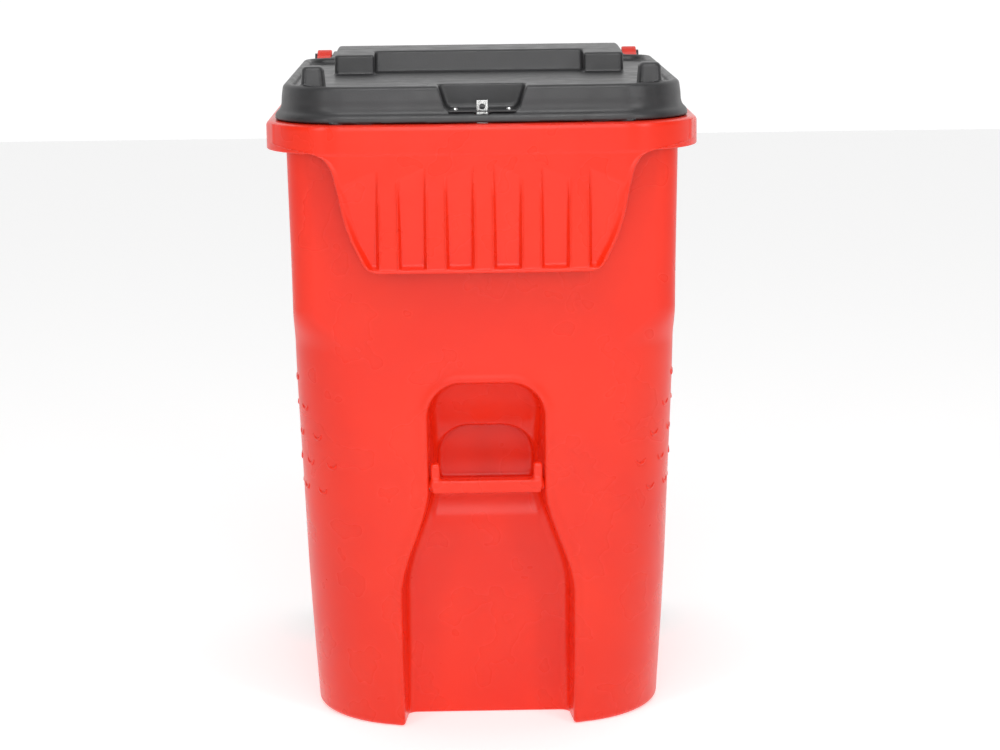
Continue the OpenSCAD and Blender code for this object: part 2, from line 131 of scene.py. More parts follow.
def union(a, b, r=0.0):
    """Both shapes, with a fillet of radius r where they meet."""
    if not r:
        return np.minimum(a, b)
    u, v = np.maximum(r - a, 0), np.maximum(r - b, 0)
    return np.maximum(r, np.minimum(a, b)) - np.sqrt(u * u + v * v)


def both(a, b, r=0.0):
    """Where the shapes overlap, with edges rounded to radius r."""
    if not r:
        return np.maximum(a, b)
    u, v = np.maximum(r + a, 0), np.maximum(r + b, 0)
    return np.minimum(-r, np.maximum(a, b)) + np.sqrt(u * u + v * v)


def minus(a, b, r=0.0):
    return both(a, -b, r)


def between(v, low, high):
    """A slab from low to high."""
    return np.maximum(low - v, v - high)


def step(v, low, high):
    """0 below low and 1 above high, with a smooth rise between."""
    t = np.clip((v - low) / (high - low), 0, 1)
    return t * t * (3 - 2 * t)


def mix(a, b, t):
    return a + (b - a) * t


def beyond(u, v, a, b):
    """Distance past the line from a to b, positive on its right-hand side."""
    du, dv = b[0] - a[0], b[1] - a[1]
    return ((u - a[0]) * dv - (v - a[1]) * du) / math.hypot(du, dv)


def curve(points, samples=256):
    """A smooth function through (value, result) points that never overshoots them."""
    xs, ys = np.array(points, float).T
    rise = np.diff(ys) / np.diff(xs)
    slope = np.concatenate([[rise[0]], (rise[1:] + rise[:-1]) / 2, [rise[-1]]])
    flat = np.concatenate([[False], rise[1:] * rise[:-1] <= 0, [False]])
    slope[flat] = 0
    limit = 3 * np.minimum(np.abs(np.r_[rise[0], rise]), np.abs(np.r_[rise, rise[-1]]))
    slope = np.clip(slope, -limit, limit)
    at = np.linspace(xs[0], xs[-1], samples)
    k = np.clip(np.searchsorted(xs, at, side="right") - 1, 0, len(xs) - 2)
    h = xs[k + 1] - xs[k]
    t = (at - xs[k]) / h
    table = (
        (1 + 2 * t) * (1 - t) ** 2 * ys[k]
        + t * (1 - t) ** 2 * h * slope[k]
        + t * t * (3 - 2 * t) * ys[k + 1]
        - t * t * (1 - t) * h * slope[k + 1]
    )
    return lambda v: np.interp(v, at, table).astype(np.float32)


def plan(x, y, half_w, front, rear, front_r, rear_r, bow):
    """Distance from a rounded rectangle seen from above, whose front bows outwards."""
    mid = (front + rear) / 2
    span = mid - front
    b = bow * np.minimum((x / half_w) ** 2, 1.3)
    y = np.where(y < mid, (y - b * mid / span) / (1 - b / span), y) - mid
    r = np.where(y < 0, front_r, rear_r)
    u = np.abs(x) - half_w + r
    v = np.abs(y) - (rear - front) / 2 + r
    return np.hypot(np.maximum(u, 0), np.maximum(v, 0)) + np.minimum(np.maximum(u, v), 0) - r


def cylinder_x(y, z, at_y, at_z, r):
    return np.hypot(y - at_y, z - at_z) - r


# ---------------------------------------------------------------------------- tub shapes


wall_inset = curve([(0, 19), (187, 10.4), (348, 6.1), (540, 1.6), (595, 2.5), (850, 0), (900, 0)])


def tub_outside(x, y, z):
    """The tub's wall, from the floor to the rim, without its recesses."""
    up = step(z, SHOULDER_LOW, SHOULDER_HIGH)
    low = z / SHOULDER_LOW
    half_w = TOP_HW - wall_inset(z)
    corner = mix(mix(138, 84, low), 33, up)
    lean = 1 - z / RIM_Z
    front, rear = TUB_FRONT + FRONT_LEAN * lean, TUB_REAR - REAR_LEAN * lean
    return plan(x, y, half_w, front, rear, corner, REAR_CORNER, FRONT_BOW)


def recess_outline(x, y, z):
    """The front recess seen from the front: an arch that widens towards the floor."""
    flare = step(z, FLARE_LOW, FLARE_TOP)
    half_w = mix(RECESS_FOOT_HW, ARCH_HW, flare) - RECESS_DRAFT * (y - TUB_FRONT - 14)
    slope = 1 + 0.3 * 4 * flare * (1 - flare)
    return both((np.abs(x) - half_w) / slope, z - ARCH_TOP, ARCH_R)


recess_back = curve(
    [(-20, 86), (230, 81), (290, 84), (330, 95), (380, 96), (432, 77), (470, 59), (484, 51), (510, 36)]
)


def recess(x, y, z, grow=0.0):
    """The arched recess, with the deeper pocket behind the lift bar."""
    outline = recess_outline(x, y, z) - grow
    shallow = both(outline, y - TUB_FRONT - recess_back(z) - grow, 12)
    beside = np.maximum(np.abs(x) - POCKET_FLAT_HW, 0)
    above = np.maximum(z - POCKET_SPRING, 0) * POCKET_FLATTEN
    arch = both(np.hypot(beside, above) - POCKET_R - grow, POCKET_LOW - grow - z, 14)
    pocket = both(arch, y - TUB_FRONT - POCKET_DEPTH - grow, 8)
    pocket = both(pocket, TUB_FRONT + 40 - y)
    return union(shallow, pocket, 5)


def wheel_well(x, y, z, grow=0.0):
    round_part = cylinder_x(y, z, AXLE_Y, AXLE_Z, WELL_R + grow)
    square_part = both(AXLE_Y - WELL_R - grow - y, z - AXLE_Z)
    behind = both(AXLE_Y - y, z - AXLE_Z - WELL_R - grow)
    return both(union(union(round_part, square_part), behind), WELL_X - grow - np.abs(x), 6)


def kick_up(x, y, z, grow=0.0):
    """The slope under the rear of the floor, which the axle passes below."""
    slope = math.hypot(1, KICK_SLOPE)
    return both(((z - grow) - (y - KICK_Y) * KICK_SLOPE) / slope - 0.5 * grow, np.abs(x) - WELL_X - 1)


def axle_ribs(x, y, z):
    ribs = None
    for at in (60, WELL_X - 4):
        one = np.abs(np.abs(x) - at) - 4
        ribs = one if ribs is None else np.minimum(ribs, one)
    web = both(both(AXLE_Y - 30 - y, y - AXLE_Y - 30), AXLE_Z - 10 - z, 12)
    web = both(web, (z - (y - KICK_Y) * KICK_SLOPE) / math.hypot(1, KICK_SLOPE) - 3)
    web = union(web, cylinder_x(y, z, AXLE_Y, AXLE_Z, AXLE_R + 10), 4)
    return minus(both(ribs, web, 1.2), cylinder_x(y, z, AXLE_Y, AXLE_Z, AXLE_R + 0.1))


def tub_body(x, y, z):
    """The tub up to its rim."""
    wall = tub_outside(x, y, z)
    bead = recess_outline(x, y, z)
    wall = wall - 1.6 * np.exp(-(((bead - 5) / 7) ** 2))
    outer = both(wall, -z, 8)
    outer = minus(outer, recess(x, y, z), 5)
    outer = minus(outer, wheel_well(x, y, z), 4)
    outer = minus(outer, kick_up(x, y, z), 4)
    inner = both(wall + WALL, 5 - z, 10)
    inner = minus(inner, recess(x, y, z, WALL), 8)
    inner = minus(inner, wheel_well(x, y, z, WALL), 6)
    inner = minus(inner, kick_up(x, y, z, WALL), 6)
    shell = minus(outer, inner, 1)
    shell = union(shell, axle_ribs(x, y, z), 3)
    return both(shell, z - RIM_Z + WALL - 0.5)


apron_half_w = curve(
    [(650, 144), (653, 152), (661, 160), (676, 168), (697, 178), (729, 188), (772, 197), (796, 205)]
    + [(808, 217), (813, 232), (818, 262), (822, 284)]
)


def apron_outline(x, z):
    """Distance outside the apron's edge, seen from the front."""
    side = (np.abs(x) - apron_half_w(z)) * 0.92
    return both(side, APRON_LOW - z, 10)


def groove_depth(x, z):
    """How far the apron's face lies back: nothing on a raised rib, most at a groove's foot."""
    ax = np.abs(x)
    edge = RIB_W / 2
    nearest = np.minimum(np.minimum(np.abs(ax), np.abs(ax - RIB_PITCH)), np.abs(ax - 2 * RIB_PITCH))
    outside = nearest - edge
    across = np.mod(ax - edge, RIB_PITCH) / (RIB_PITCH - RIB_W)
    head = RIM_Z - 52 - 14 * across - 0.05 * ax
    deep = np.clip((head - z) / (head - APRON_LOW - 12), 0, 1) ** 0.8
    deep = deep * step(z, APRON_LOW + 2.5, APRON_LOW + 8)
    groove = GROOVE_DEPTH * deep * step(outside, -0.5, 4.5)
    crest = 1.8 * np.minimum(deep * 3, 1) * np.exp(-(((outside + 0.4) / 1.5) ** 2))
    fade = step(-apron_outline(x, z), 3, 12)
    return (groove - crest) * fade


def rim_plan(x, y):
    return plan(x, y, RIM_HW, RIM_FRONT, RIM_REAR, RIM_CORNER, REAR_CORNER, FRONT_BOW + 2)


def tub_rim(x, y, z):
    """The rim, the lip inside the lid and the apron."""
    edge = rim_plan(x, y)
    rim = both(both(edge, z - RIM_Z, 7), RIM_Z - RIM_H - z, 1.5)
    rim = minus(rim, both(edge + WALL, z - RIM_Z + WALL, 4), 1.2)
    outline = apron_outline(x, z)
    bead = 1.3 * np.exp(-(((outline + 2.5) / 2.4) ** 2))
    face = edge + groove_depth(x, z) + 0.6 - bead
    apron = both(both(face, -face - WALL), outline, 1.6)
    apron = both(apron, both(z - RIM_Z + 2, y + 200))
    web = both(both(np.abs(np.abs(x) - APRON_FOOT_HW + 4) - 2, between(z, APRON_LOW + 12, RIM_Z - 2)),
               between(y, RIM_FRONT + 6, TUB_FRONT + 8), 1)
    rim = union(rim, union(apron, web, 2), 3)
    mouth = plan(x, y, TOP_HW, TUB_FRONT, TUB_REAR, MOUTH_CORNER, REAR_CORNER, FRONT_BOW)
    lip = both(both(mouth, z - RIM_Z - 7, 1.8), RIM_Z - WALL - z)
    rim = union(rim, lip, 3)
    rim = minus(rim, mouth + WALL, 1.2)
    slot = both(both(np.abs(x) - 9, between(y, TUB_FRONT - 4.5, TUB_FRONT + 0.2)), RIM_Z - WALL - 1 - z)
    return minus(rim, slot)


def hinge_strut(y, z, r):
    low = beyond(y, z, (RIM_REAR, RIM_Z - RIM_H + 6), (HINGE_Y + 4, HINGE_Z - r + 0.5))
    high = -beyond(y, z, (RIM_REAR - 2, RIM_Z + 22), (HINGE_Y - 4, HINGE_Z + r - 0.5))
    strut = both(both(low, high, 3), y - HINGE_Y)
    strut = both(strut, -beyond(y, z, (RIM_REAR - 10, RIM_Z - 2), (RIM_REAR - 2, RIM_Z + 22)), 3)
    strut = both(strut, RIM_Z - RIM_H + 6 - z)
    foot = both(between(y, TUB_REAR - 1, RIM_REAR - 2), between(z, RIM_Z - RIM_H + 6, RIM_Z - 2))
    return union(union(strut, foot), cylinder_x(y, z, HINGE_Y, HINGE_Z, r), 6)


def tub_handle(x, y, z):
    """The arms that carry the hinge pins, and the hand grip between them."""
    ax = np.abs(x)
    outer = both(between(ax, *OUTER_LUG), hinge_strut(y, z, LUG_R), 2.5)
    inner = both(between(ax, *INNER_LUG), hinge_strut(y, z, LUG_R - 1), 2.5)
    grip = both(cylinder_x(y, z, HINGE_Y, HINGE_Z, GRIP_R), ax - INNER_LUG[0] - 4)
    groove = np.exp(-((np.mod(ax, 9) - 4.5) / 1.6) ** 2)
    flats = 1.2 * groove * step(ax, 150, 140) * step(z, HINGE_Z + 2, HINGE_Z - 4)
    arms = union(union(outer, inner), grip + flats, 4)
    return minus(arms, both(cylinder_x(y, z, HINGE_Y, HINGE_Z, PIN_R + 0.1), INNER_LUG[0] + 5 - ax), 0.6)


def lift_bar(x, y, z):
    ax = np.abs(x)
    body = both(both(between(y, BAR_FRONT, BAR_FRONT + BAR_T), np.abs(z - BAR_Z) - BAR_H / 2, 4), ax - 75, 3)
    ear = both(between(ax, 64, 77), both(between(y, BAR_FRONT + 2, BAR_FRONT + 16), z - BAR_TOP - 23, 6), 4)
    ear = both(ear, BAR_Z - z)
    boss = both(cylinder_x(y, z, BAR_FRONT + 14, BAR_Z, 8.5), ax - 78.5)
    return union(union(body, boss, 2), ear, 5)


# ---------------------------------------------------------------------------- lid shapes

lid_inset = curve([(850, 0), (856, 0.2), (860, 2.2), (864, 6), (869, 8.3), (882, 9.6), (899, 12), (930, 15)])


def lid_side(x, y, z):
    flat = plan(x, y, LID_HW, LID_FRONT, LID_REAR, 98, 50, FRONT_BOW + 1)
    return flat, flat + lid_inset(z)


def notch(x, y, z, grow=0.0):
    """The latch notch in the front of the lid."""
    half_w = mix(NOTCH_FOOT_HW, NOTCH_HW, (z - SHELF_Z) / (BORDER_Z - SHELF_Z))
    across = both((np.abs(x) - half_w) * 0.95 - grow, SHELF_Z - grow - z, 9 + grow * 0.3)
    return both(across, y - LID_FRONT - NOTCH_DEPTH - grow, 8)


def plateau(x, y, z, grow=0.0):
    """The raised block at the lid's rear, with a bay in the middle of its front."""
    ax = np.abs(x)
    face_low, face_top, crown_y = DECK_Z - 12, TOP_Z - 6, PLATEAU_FRONT + 55
    bay_y = PLATEAU_FRONT + PLATEAU_BAY
    cheek = beyond(y, z, (PLATEAU_FRONT - 2, face_low), (PLATEAU_FRONT + 1, face_top))
    bay = beyond(y, z, (bay_y - 9, face_low), (bay_y + 6, face_top))
    rise = -beyond(y, z, (PLATEAU_FRONT + 3, face_top), (crown_y, TOP_Z))
    crown = -beyond(y, z, (crown_y, TOP_Z), (LID_REAR - 62, TOP_Z - 4))
    fall = -beyond(y, z, (LID_REAR - 62, TOP_Z - 4), (LID_REAR - 10, BORDER_Z + 2))
    top = both(both(both(rise, crown, 20), fall, 24), y - LID_REAR + 9, 4)
    block = both(both(-cheek, ax - PLATEAU_HW, 7), top, 5)
    return minus(block, both(bay, ax - PLATEAU_HW + PLATEAU_CHEEK, 6), 4) + grow


def lid_knob(x, y, z):
    u, v = np.abs(np.abs(x) - KNOB_X), np.abs(y - KNOB_Y)
    shrink = curve([(880, -1.5), (892, 0), (915, 2), (930, 3)])(z)
    return both(both(u - KNOB_W / 2 + shrink, v - KNOB_W / 2 + shrink, 8), z - TOP_Z + 3, 6)


def knuckle(x, y, z):
    ax = np.abs(x)
    high = -beyond(y, z, (LID_REAR - 14, BORDER_Z), (HINGE_Y - 2, HINGE_Z + 12.2))
    low = beyond(y, z, (LID_REAR + 4, DECK_Z - 16), (HINGE_Y + 2, HINGE_Z - 12.2))
    arm = both(both(high, low, 3), between(y, LID_REAR - 14, HINGE_Y))
    return both(between(ax, *KNUCKLE), union(arm, cylinder_x(y, z, HINGE_Y, HINGE_Z, 12.5)), 2)


def lid_shell(x, y, z):
    flat, side = lid_side(x, y, z)
    shell = both(both(side, z - BORDER_Z, 6), LID_LOW - z, 1.6)
    deck = both(flat + 27 + (z - DECK_Z) * -0.5, DECK_Z - z, 3)
    deck = minus(deck, notch(x, y, z, 15), 6)
    shell = minus(shell, deck, 3.5)
    shell = union(shell, plateau(x, y, z), 4)
    shell = union(shell, lid_knob(x, y, z), 3)
    shell = minus(shell, notch(x, y, z), 3)
    hollow = both(side + WALL, z - DECK_Z + WALL, 4)
    hollow = union(hollow, plateau(x, y, z, WALL))
    hollow = minus(hollow, notch(x, y, z, WALL), 3)
    shell = minus(shell, hollow, 1)
    shell = union(shell, knuckle(x, y, z), 5)
    bowed_strip = between(y - 12 * (x / LID_HW) ** 2, LID_FRONT + 1, LID_FRONT + 8)
    pads = both(both(np.abs(np.abs(x) - 174) - 29, bowed_strip), between(z, LID_PADS_Z, LID_LOW + 1))
    shell = union(shell, pads)
    staple_slot = both(np.abs(x) - 11.5, between(y, TUB_FRONT - 7, TUB_FRONT + 5))
    shell = minus(shell, both(staple_slot, SHELF_Z - 10 - z))
    return minus(shell, cylinder_x(y, z, HINGE_Y, HINGE_Z, PIN_R + 0.05), 0.6)


# --------------------------------------------------------------------------- mesh making


def make_object(name, points, faces, normals=None, smooth=True):
    """A mesh object from points in mm and a list of arrays of faces, one per face size."""
    mesh = bpy.data.meshes.new(name)
    mesh.vertices.add(len(points))
    mesh.vertices.foreach_set("co", (np.asarray(points) * MM).astype(np.float32).ravel())
    faces = [f for f in faces if len(f)]
    sizes = np.concatenate([np.full(len(f), f.shape[1]) for f in faces])
    mesh.loops.add(int(sizes.sum()))
    mesh.loops.foreach_set("vertex_index", np.concatenate([f.ravel() for f in faces]).astype(np.int32))
    mesh.polygons.add(len(sizes))
    mesh.polygons.foreach_set("loop_start", np.concatenate([[0], np.cumsum(sizes)[:-1]]).astype(np.int32))
    mesh.polygons.foreach_set("use_smooth", np.full(len(sizes), smooth))
    mesh.update(calc_edges=True)
    mesh.validate()
    if normals is not None:
        mesh.normals_split_custom_set_from_vertices(normals.tolist())
    made = bpy.data.objects.new(name, mesh)
    bpy.context.scene.collection.objects.link(made)
    return made


def in_parts(shape, p, size=1 << 16):
    """The shape's distances at points p, worked out on all cores."""
    p = p.astype(np.float32)
    chunks = [p[i : i + size] for i in range(0, len(p), size)]
    with ThreadPoolExecutor(4) as pool:
        return np.concatenate(list(pool.map(lambda c: shape(c[:, 0], c[:, 1], c[:, 2]), chunks)))


def slopes(shape, p, h=0.25):
    out = np.empty((len(p), 3))
    for k in range(3):
        away = np.zeros(3)
        away[k] = h
        out[:, k] = (in_parts(shape, p + away) - in_parts(shape, p - away)) / (2 * h)
    return out


def unit(v):
    return v / np.maximum(np.linalg.norm(v, axis=1), 1e-6)[:, None]


def onto(shape, points, reach):
    """The points pulled onto the shape's surface, each step no longer than reach."""
    for _ in range(2):
        slope = slopes(shape, points)
        push = in_parts(shape, points) / np.maximum((slope**2).sum(1), 0.2)
        points = points - np.clip(push, -reach, reach)[:, None] * slope
    return points


def moulded(name, shape, low, high, pitch, most=190000):
    """The surface of a distance function, sampled on a grid near it and kept to a number of faces."""
    cells = 8
    low = np.array(low, float) - 2.5 * pitch
    count = np.ceil((np.array(high) + 2.5 * pitch - low) / (cells * pitch)).astype(int)
    band = 3 * pitch
    centres = np.stack(np.meshgrid(*[(np.arange(n) + 0.5) * cells * pitch for n in count], indexing="ij"), -1)
    far = in_parts(shape, centres.reshape(-1, 3) + low).reshape(count)
    grid = np.empty((count[0], cells, count[1], cells, count[2], cells), np.float32)
    blocks = grid.transpose(0, 2, 4, 1, 3, 5)
    blocks[...] = np.where(far < 0, -band, band)[..., None, None, None]
    near = np.argwhere(np.abs(far) < cells * pitch * 0.87 * 1.25 + band)
    steps = np.stack(np.meshgrid(*[np.arange(cells) * pitch] * 3, indexing="ij"), -1).reshape(-1, 3)
    for i in range(0, len(near), 2000):
        some = near[i : i + 2000]
        p = (some[:, None] * cells * pitch + low)[:, :] + 0.0
        p = (p.reshape(-1, 1, 3) + steps[None]).reshape(-1, 3)
        values = np.clip(in_parts(shape, p), -band, band).reshape(-1, cells, cells, cells)
        blocks[some[:, 0], some[:, 1], some[:, 2]] = values
    level = openvdb.FloatGrid(band)
    level.copyFromArray(grid.reshape(count * cells))
    points, triangles, quads = level.convertToPolygons(isovalue=0.0, adaptivity=0.0)
    points = onto(shape, points.astype(float) * pitch + low, pitch)
    normals = unit(slopes(shape, points[quads[:, 0]]))
    corner = points[quads]
    facing = np.cross(corner[:, 1] - corner[:, 0], corner[:, 2] - corner[:, 0])
    if (facing * normals).sum() < 0:
        triangles, quads = triangles[:, ::-1], quads[:, ::-1]
    made = make_object(name, points, [triangles, quads])
    count = len(triangles) + 2 * len(quads)
    if count > most:
        fewer = made.modifiers.new("fewer", "DECIMATE")
        fewer.ratio = most / count
        thinned = bpy.data.meshes.new_from_object(made.evaluated_get(bpy.context.evaluated_depsgraph_get()))
        made.modifiers.clear()
        made.data = thinned
    mesh = made.data
    points = np.empty(3 * len(mesh.vertices), np.float32)
    mesh.vertices.foreach_get("co", points)
    points = onto(shape, points.reshape(-1, 3).astype(float) / MM, pitch)
    mesh.vertices.foreach_set("co", (points * MM).astype(np.float32).ravel())
    mesh.polygons.foreach_set("use_smooth", np.ones(len(mesh.polygons), bool))
    mesh.update()
    mesh.normals_split_custom_set_from_vertices(unit(slopes(shape, points)).tolist())
    return made


# ----------------------------------------------------------------------------- materials


def material(name, colour, roughness, **sockets):
    made = bpy.data.materials.new(name)
    made.use_nodes = True
    shader = made.node_tree.nodes["Principled BSDF"]
    shader.inputs["Base Color"].default_value = (*colour, 1)
    shader.inputs["Roughness"].default_value = roughness
    for socket, value in sockets.items():
        shader.inputs[socket.replace("_", " ")].default_value = value
    return made


def add_node(mat, kind, **settings):
    node = mat.node_tree.nodes.new(kind)
    for key, value in settings.items():
        if key in node.inputs:
            node.inputs[key].default_value = value
        else:
            setattr(node, key, value)
    return node


def noise(mat, size_mm, detail=3.0, stretch=(1, 1, 1)):
    """Noise fixed to the object, whose features are about size_mm across."""
    tree = mat.node_tree
    place = add_node(mat, "ShaderNodeTexCoord")
    scale = add_node(mat, "ShaderNodeMapping")
    scale.inputs["Scale"].default_value = [s / (size_mm * MM) for s in stretch]
    texture = add_node(mat, "ShaderNodeTexNoise", Scale=1.0, Detail=detail)
    tree.links.new(place.outputs["Object"], scale.inputs["Vector"])
    tree.links.new(scale.outputs["Vector"], texture.inputs["Vector"])
    return texture.outputs["Fac"]


def remap(mat, value, low, high, to_low, to_high):
    node = add_node(mat, "ShaderNodeMapRange")
    for key, number in (("From Min", low), ("From Max", high), ("To Min", to_low), ("To Max", to_high)):
        node.inputs[key].default_value = number
    mat.node_tree.links.new(value, node.inputs["Value"])
    return node.outputs["Result"]


def bumps(mat, layers):
    """Bump from (height value, depth in mm) layers, the coarsest first."""
    tree = mat.node_tree
    normal = None
    for value, depth in layers:
        bump = add_node(mat, "ShaderNodeBump", Strength=1.0, Distance=depth * MM)
        tree.links.new(value, bump.inputs["Height"])
        if normal:
            tree.links.new(normal, bump.inputs["Normal"])
        normal = bump.outputs["Normal"]
    tree.links.new(normal, tree.nodes["Principled BSDF"].inputs["Normal"])


def vary(mat, colour, other, value, low=0.35, high=0.65):
    """Drifts the base colour from one colour to the other with a value."""
    tree = mat.node_tree
    blend = add_node(mat, "ShaderNodeMix", data_type="RGBA")
    blend.inputs[6].default_value = (*colour, 1)
    blend.inputs[7].default_value = (*other, 1)
    tree.links.new(remap(mat, value, low, high, 0, 1), blend.inputs[0])
    tree.links.new(blend.outputs[2], tree.nodes["Principled BSDF"].inputs["Base Color"])


def roughen(mat, value, low, high):
    tree = mat.node_tree
    tree.links.new(remap(mat, value, 0.3, 0.7, low, high), tree.nodes["Principled BSDF"].inputs["Roughness"])


def red_plastic():
    """Glossy rotationally moulded polyethylene: slow waves, faint orange peel, rubbed patches."""
    mat = material("red_plastic", (0.80, 0.025, 0.006), 0.30, Specular_IOR_Level=0.40)
    vary(mat, (0.81, 0.026, 0.006), (0.77, 0.022, 0.006), noise(mat, 140, 2))
    roughen(mat, noise(mat, 60, 2), 0.24, 0.34)
    bumps(mat, [(noise(mat, 80, 0), 0.25), (noise(mat, 1.6, 2), 0.015)])
    return mat


def lid_plastic():
    """Charcoal polyethylene with a pebbled grain, duller where hands rub it."""
    mat = material("lid_plastic", (0.018, 0.018, 0.020), 0.42, Specular_IOR_Level=0.7)
    vary(mat, (0.014, 0.014, 0.015), (0.022, 0.022, 0.024), noise(mat, 50, 4))
    roughen(mat, noise(mat, 25, 4), 0.36, 0.48)
    bumps(mat, [(noise(mat, 30, 2), 0.3), (noise(mat, 2.4, 3), 0.12)])
    return mat


def black_plastic(name, colour, rough):
    mat = material(name, colour, rough)
    vary(mat, colour, [c * 1.7 for c in colour], noise(mat, 18, 5))
    roughen(mat, noise(mat, 9, 5), rough - 0.08, rough + 0.12)
    bumps(mat, [(noise(mat, 1.2, 2), 0.03)])
    return mat


def steel(name, colour, rough, grain):
    mat = material(name, colour, rough, Metallic=1.0)
    vary(mat, colour, [c * 0.8 for c in colour], noise(mat, 6, 5))
    roughen(mat, noise(mat, 2.5, 4, grain), rough - 0.08, rough + 0.14)
    bumps(mat, [(noise(mat, 0.7, 2, grain), 0.012)])
    return mat


def tyre_rubber():
    mat = material("tyre_rubber", (0.022, 0.022, 0.023), 0.75)
    vary(mat, (0.020, 0.020, 0.021), (0.045, 0.043, 0.041), noise(mat, 14, 6))
    roughen(mat, noise(mat, 6, 5), 0.62, 0.88)
    bumps(mat, [(noise(mat, 1.0, 4), 0.06)])
    return mat


def nylon():
    mat = material("nylon", (0.72, 0.71, 0.66), 0.45)
    vary(mat, (0.74, 0.73, 0.68), (0.66, 0.65, 0.60), noise(mat, 8, 4))
    bumps(mat, [(noise(mat, 1.0, 2), 0.02)])
    return mat


RED, LID, TYRE, NYLON = red_plastic(), lid_plastic(), tyre_rubber(), nylon()
BLACK = black_plastic("black_plastic", (0.028, 0.028, 0.030), 0.42)
WHEEL = black_plastic("wheel_plastic", (0.024, 0.024, 0.026), 0.5)
ZINC = steel("zinc_steel", (0.60, 0.61, 0.62), 0.32, (0.2, 1, 1))
BRIGHT = steel("bright_steel", (0.82, 0.82, 0.81), 0.22, (1, 1, 0.3))


def finish_piece(piece, mat, body, slot, *nodes):
    """Gives a piece its material and its body, and hides the CAD nodes it stands for. The slot argument is
    not used.
    """
    piece.data.materials.clear()
    piece.data.materials.append(mat)
    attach(piece, body)
    if nodes:
        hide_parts(*nodes)
    return piece


# --------------------------------------------------------------------------------- tub

finish_piece(
    moulded("tub_body", tub_body, (-TOP_HW - 3, TUB_FRONT - 4, 0), (TOP_HW + 3, TUB_REAR + 4, RIM_Z), 2.2),
    RED, "tub_body", "red_plastic", "tub",
)
finish_piece(
    moulded("tub_rim", tub_rim, (-RIM_HW, RIM_FRONT - 2, APRON_LOW), (RIM_HW, RIM_REAR, RIM_Z + 8), 1.4),
    RED, "tub_body", "red_plastic",
)
finish_piece(
    moulded(
        "tub_handle", tub_handle, (-OUTER_LUG[1], TUB_REAR - 2, RIM_Z - RIM_H),
        (OUTER_LUG[1], HINGE_Y + GRIP_R, HINGE_Z + GRIP_R), 1.6,
    ),
    RED, "tub_body", "red_plastic",
)
finish_piece(
    moulded(
        "bar_sleeve", lift_bar, (-ARCH_HW, BAR_FRONT - 1, BAR_Z - 16),
        (ARCH_HW, BAR_FRONT + BAR_T + 1, BAR_TOP + 24), 1.2,
    ),
    RED, "tub_body", "red_plastic", "lift_bar",
)

MARK_LOW_Z, MARK_ROW_GAP = 345, 39
MARK_FIRST, MARK_STEP = 34, 13  # degrees round the corner: the first column, and from one to the next
MARK_HALF_W, MARK_DROP = 9, 11
MARK_THICK, MARK_HEIGHT = 2.6, 1.7
MARK_ROWS = ((1, 1), (0, 2), (1, 2), (0, 3), (1, 2), (0, 3))  # first row and number of rows of each column


def grip_marks():
    """Small smile-shaped ridges, staggered in columns round the tub's front corners."""
    along, round_, points, faces = 15, 8, [], []
    turn = np.linspace(0, 1, along)
    arc = np.radians(mix(200, 340, turn))[:, None]
    taper = np.sqrt(np.sin(np.pi * mix(0.02, 0.98, turn)))[:, None]
    ring = np.arange(round_) * 2 * np.pi / round_
    for column, (low_row, rows) in enumerate(MARK_ROWS):
        for row in range(rows):
            z = MARK_LOW_Z + MARK_ROW_GAP * (low_row + 2 * row)
            lean = math.radians(MARK_FIRST + MARK_STEP * column)
            corner = 150 + 0.02 * z
            at = np.array([[corner + 90 * math.sin(lean), TUB_FRONT + 120 - 90 * math.cos(lean), z]])
            at = onto(tub_outside, onto(tub_outside, at, 60), 60)
            out = unit(slopes(tub_outside, at))[0]
            side = np.cross(out, [0, 0, 1])
            side /= np.linalg.norm(side)
            up = np.cross(side, out)
            line = at + MARK_HALF_W * np.cos(arc) * side + MARK_DROP * np.sin(arc) * up
            line = onto(tub_outside, line, 10)
            away = unit(slopes(tub_outside, line))
            across = np.cos(arc) * side + np.sin(arc) * up
            tube = (
                line[:, None]
                + MARK_THICK * taper[:, None] * np.cos(ring)[None, :, None] * across[:, None]
                + MARK_HEIGHT * taper[:, None] * np.sin(ring)[None, :, None] * away[:, None]
            ).reshape(-1, 3)
            for flip in (1, -1):
                start = sum(len(p) for p in points)
                points.append(tube * (flip, 1, 1))
                i, j = np.meshgrid(np.arange(along - 1), np.arange(round_), indexing="ij")
                k = (j + 1) % round_
                here, beyond_here = i * round_, (i + 1) * round_
                quads = np.stack([here + j, here + k, beyond_here + k, beyond_here + j], -1)
                caps = np.array([np.arange(round_)[::-1], np.arange(round_) + (along - 1) * round_])
                for f in (quads.reshape(-1, 4), caps):
                    faces.append((f if flip > 0 else f[:, ::-1]) + start)
    return make_object("grip_marks", np.concatenate(points), faces)


finish_piece(grip_marks(), RED, "tub_body", "red_plastic")

# --------------------------------------------------------------------------------- lid

finish_piece(
    moulded("lid_shell", lid_shell, (-LID_HW, LID_FRONT, RIM_Z), (LID_HW, HINGE_Y + 16, TOP_Z), 2.0),
    LID, "lid_body", "lid_plastic", "lid",
)

# ------------------------------------------------------------- pieces kept from the frame


